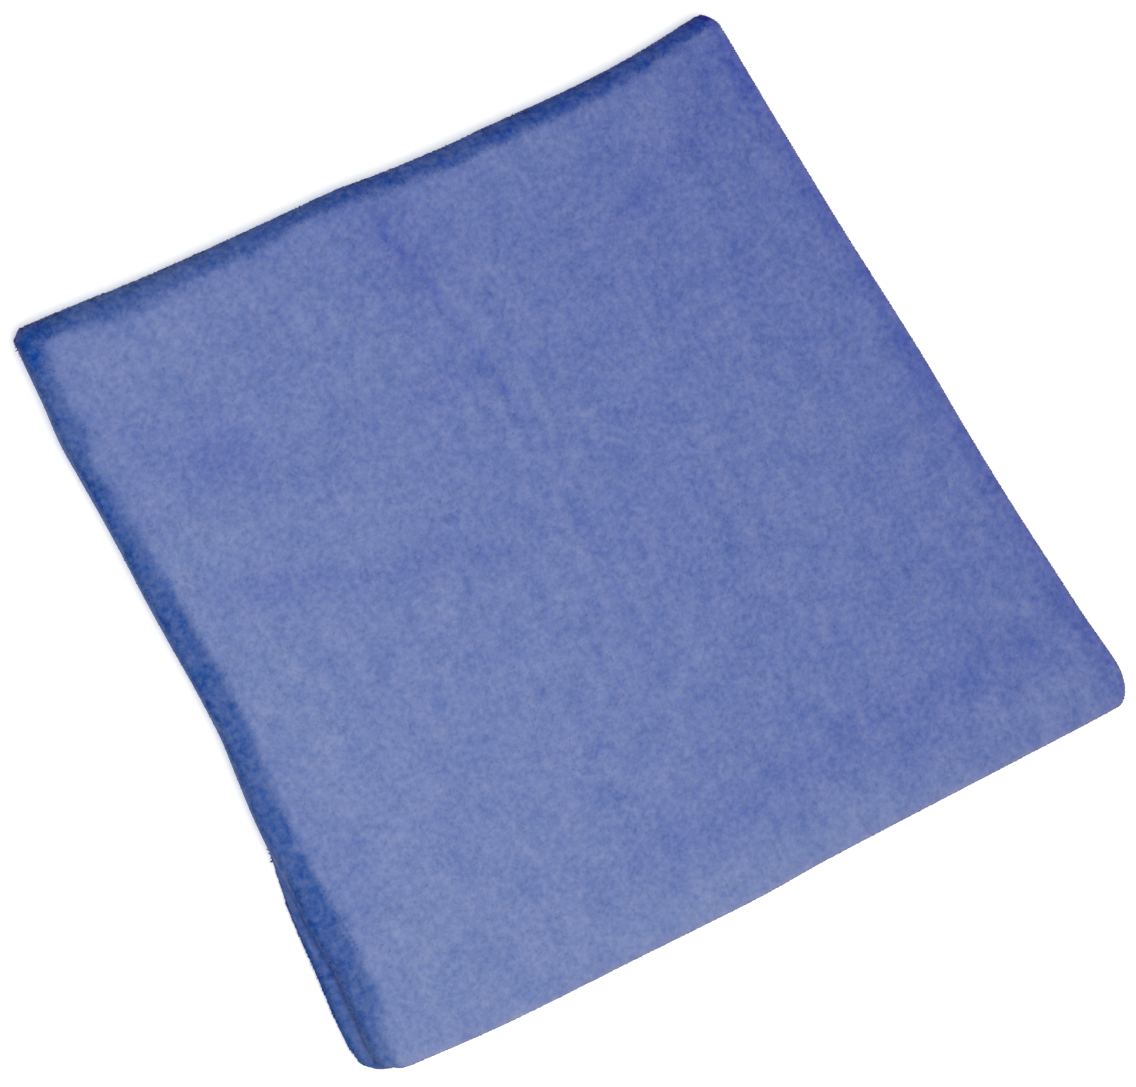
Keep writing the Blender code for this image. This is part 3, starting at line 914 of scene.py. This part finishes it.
def add_nap(name, over, down, face, places, random):
    """A piece of nap on these flat places of one face, riding with the cloth."""
    face = np.broadcast_to(face, over.shape).astype(float)
    nap = bpy.data.objects.new(name, nap_mesh(name, over, down, face, places, random))
    bpy.context.scene.collection.objects.link(nap)
    nap.data.materials.append(nap_material)
    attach(nap, "root")


random = np.random.default_rng(NAP_SEED)
UPPER_SPACING = 0.00063  # from tuft to tuft on the upper face
halfway = SECOND_STRAIGHT / 2
for name, start, end in (
    ("nap_upper_near", 0, halfway),
    ("nap_upper_far", halfway, SECOND_STRAIGHT),
):
    over, down = scattered((0, start), (FIRST_STRAIGHT, end), UPPER_SPACING, random)
    add_nap(name, over, down, 1, strip_of_map(over, down, 0, 1), random)

UNDER_SPACING = 0.0010  # on the face that the cloth lies on, which hardly shows
over, down = scattered(
    (0, CLOTH_SIDE - SECOND_STRAIGHT), (FIRST_STRAIGHT, CLOTH_SIDE), UNDER_SPACING, random
)
add_nap("nap_under", over, down, 1, strip_of_map(over, down, 0, 1), random)

FOLD_SPACING = 0.00040  # round the folds, where the nap shows from the side
GROOVE_DEPTH = 0.0030  # how far in between the rolls the nap is made
bands = (
    ((FIRST_STRAIGHT, 0), (CLOTH_SIDE - FIRST_STRAIGHT + GROOVE_DEPTH, CLOTH_SIDE)),
    ((0, SECOND_STRAIGHT), (FIRST_STRAIGHT, CLOTH_SIDE - SECOND_STRAIGHT)),
)
both_bands = [scattered(low, high, FOLD_SPACING, random) for low, high in bands]
first_map = strip_of_map(*both_bands[0], 0, 2)
second_map = strip_of_map(*both_bands[1][::-1], 1, 2)
over, down = np.concatenate(both_bands, axis=1)
add_nap("nap_folds", over, down, 1, np.concatenate((first_map, second_map), axis=1), random)

EDGE_SPACING = np.array((0.00036, 0.66))  # along a free edge, and across it in half sheets
EDGE_COVERED = 0.98  # of half the sheet, each way from its middle
INNER_SPACING = 0.0009  # on the inner faces near a free edge
INNER_BAND = 0.004  # how far in between the layers the nap is made
EDGE_STRIPS = 12  # three for each of the four edges
edge_places = []
for edge in (0, CLOTH_SIDE):
    inwards = edge + np.sign(CLOTH_SIDE / 2 - edge) * INNER_BAND
    for side in ("right", "near"):
        across = (-EDGE_COVERED, EDGE_COVERED)
        length, share = scattered((0, across[0]), (CLOTH_SIDE, across[1]), EDGE_SPACING, random)
        strips = [(np.full_like(length, edge), length, share, share)]
        for face in (1, -1):
            depth, length = scattered((edge, 0), (inwards, CLOTH_SIDE), INNER_SPACING, random)
            strips.append((depth, length, np.full_like(depth, face), depth))
        for depth, length, face, beside in strips:
            over, down = (depth, length) if side == "right" else (length, depth)
            strip = strip_of_map(beside, length, len(edge_places), EDGE_STRIPS)
            outside = (face == 1) & (over < CLOTH_SIDE / 2)
            edge_places.append(np.stack((over, down, face, *strip))[:, ~outside])
over, down, face, *places = np.concatenate(edge_places, axis=1)
add_nap("nap_edges", over, down, face, np.array(places), random)

# ---------------------------------------------------------------------------------------------
# The studio: a plain pale floor, one large soft lamp overhead and a little light from all round.

FLOOR_SIDE = 6.0
FLOOR_WHITE = (0.88, 0.88, 0.87)
FLOOR_ROUGHNESS = 0.9
FLOOR_GLOW = 0.35  # the pale surface is washed out by light

bpy.ops.mesh.primitive_plane_add(size=FLOOR_SIDE)
floor = bpy.context.object
floor.name = "floor"
floor_material = bpy.data.materials.new("floor")
floor_material.use_nodes = True
floor_shader = floor_material.node_tree.nodes["Principled BSDF"]
floor_shader.inputs["Base Color"].default_value = (*FLOOR_WHITE, 1)
floor_shader.inputs["Roughness"].default_value = FLOOR_ROUGHNESS
floor_shader.inputs["Emission Color"].default_value = (1, 1, 1, 1)
floor_shader.inputs["Emission Strength"].default_value = FLOOR_GLOW
floor.data.materials.append(floor_material)

LAMP_PLACE = (-0.16, -0.05, 0.85)
LAMP_SIDE = 0.60
LAMP_POWER = 6.72
LAMP_COLOUR = (1.0, 0.99, 0.97)
lamp_data = bpy.data.lights.new("soft lamp", "AREA")
lamp_data.shape = "DISK"
lamp_data.size = LAMP_SIDE
lamp_data.energy = LAMP_POWER
lamp_data.color = LAMP_COLOUR
lamp = bpy.data.objects.new("soft lamp", lamp_data)
lamp.location = LAMP_PLACE
bpy.context.scene.collection.objects.link(lamp)

SKY_BLUE = (0.88, 0.93, 1.0)
SKY_STRENGTH = 0.45
world = bpy.data.worlds.new("studio")
bpy.context.scene.world = world
world.use_nodes = True
sky = world.node_tree.nodes["Background"]
sky.inputs["Color"].default_value = (*SKY_BLUE, 1)
sky.inputs["Strength"].default_value = SKY_STRENGTH
bpy.context.scene.view_settings.view_transform = "Standard"

# ---------------------------------------------------------------------------------------------
# The camera looks steeply down at the cloth from its left, rolled so that the corner between
# the two folds lies at the left of the picture.

CAMERA_DISTANCE = 1.2
LOOKS_ASIDE = (-0.00471, -0.00184)  # along X and Y, so that the cloth stands where it does in the photo
CAMERA_TARGET = (OFF_CENTRE[0] + LOOKS_ASIDE[0], OFF_CENTRE[1] + LOOKS_ASIDE[1], 0.006)
CAMERA_ROLL = np.radians(27.7)  # from the picture's right to +X
CAMERA_SLANT = np.radians(18.0)  # away from straight down
FOCAL_LENGTH = 156.7

camera_data = bpy.data.cameras.new("camera")
camera_data.lens = FOCAL_LENGTH
camera = bpy.data.objects.new("camera", camera_data)
camera.rotation_euler = (0, -CAMERA_SLANT, -CAMERA_ROLL)
back = np.array(camera.rotation_euler.to_matrix())[:, 2]
camera.location = np.array(CAMERA_TARGET) + CAMERA_DISTANCE * back
bpy.context.scene.collection.objects.link(camera)
bpy.context.scene.camera = camera
